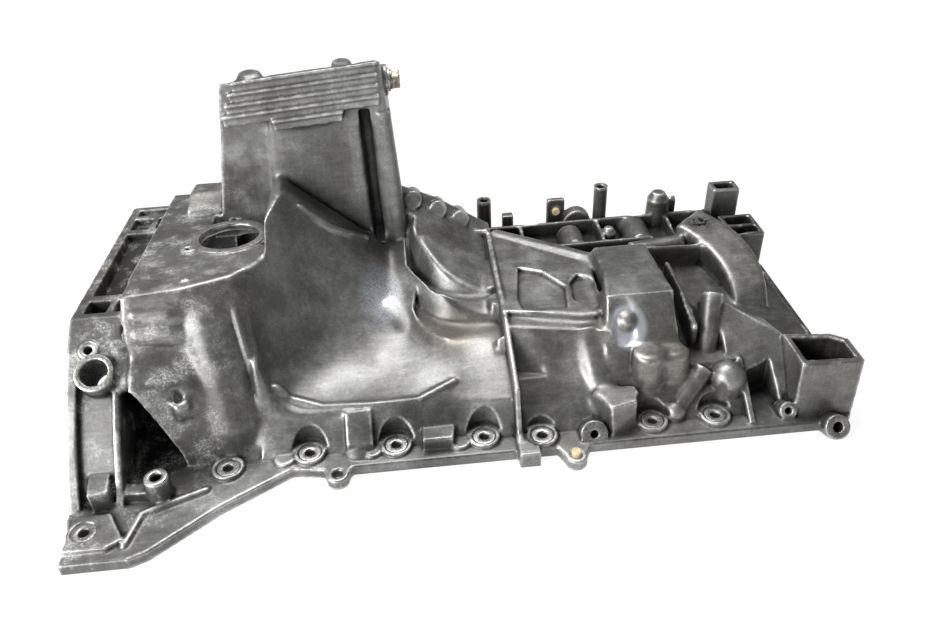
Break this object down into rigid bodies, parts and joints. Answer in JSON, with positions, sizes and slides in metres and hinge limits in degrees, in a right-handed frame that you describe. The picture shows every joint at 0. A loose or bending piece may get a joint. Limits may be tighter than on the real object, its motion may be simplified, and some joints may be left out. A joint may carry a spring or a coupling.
{
  "type": "engine oil pan",
  "caption": "Die-cast oil pan with a gasket rail, half bell flange, level sensor deck, tall sump tower with drain plug, scooped front wall and a ribbed shallow end.",
  "frame": {"origin": "middle of the bounding box at the gasket face, under the crankshaft line", "axes": "+X from the bell end to the front end of the engine, +Z from the gasket face to the bottom of the sump"},
  "size_m": [0.68, 0.482, 0.2753],
  "materials": {
    "cast_aluminium": "weathered die casting",
    "plug_steel": "dull",
    "washer_aluminium": "matt",
    "cream_plastic": "matt"
  },
  "bodies": {
    "root": {"pan_casting": "cast_aluminium", "drain_plug": "plug_steel", "drain_plug_washer": "washer_aluminium", "front_lug_peg": "cream_plastic", "rear_tab_peg": "cream_plastic"}
  },
  "joints": []
}
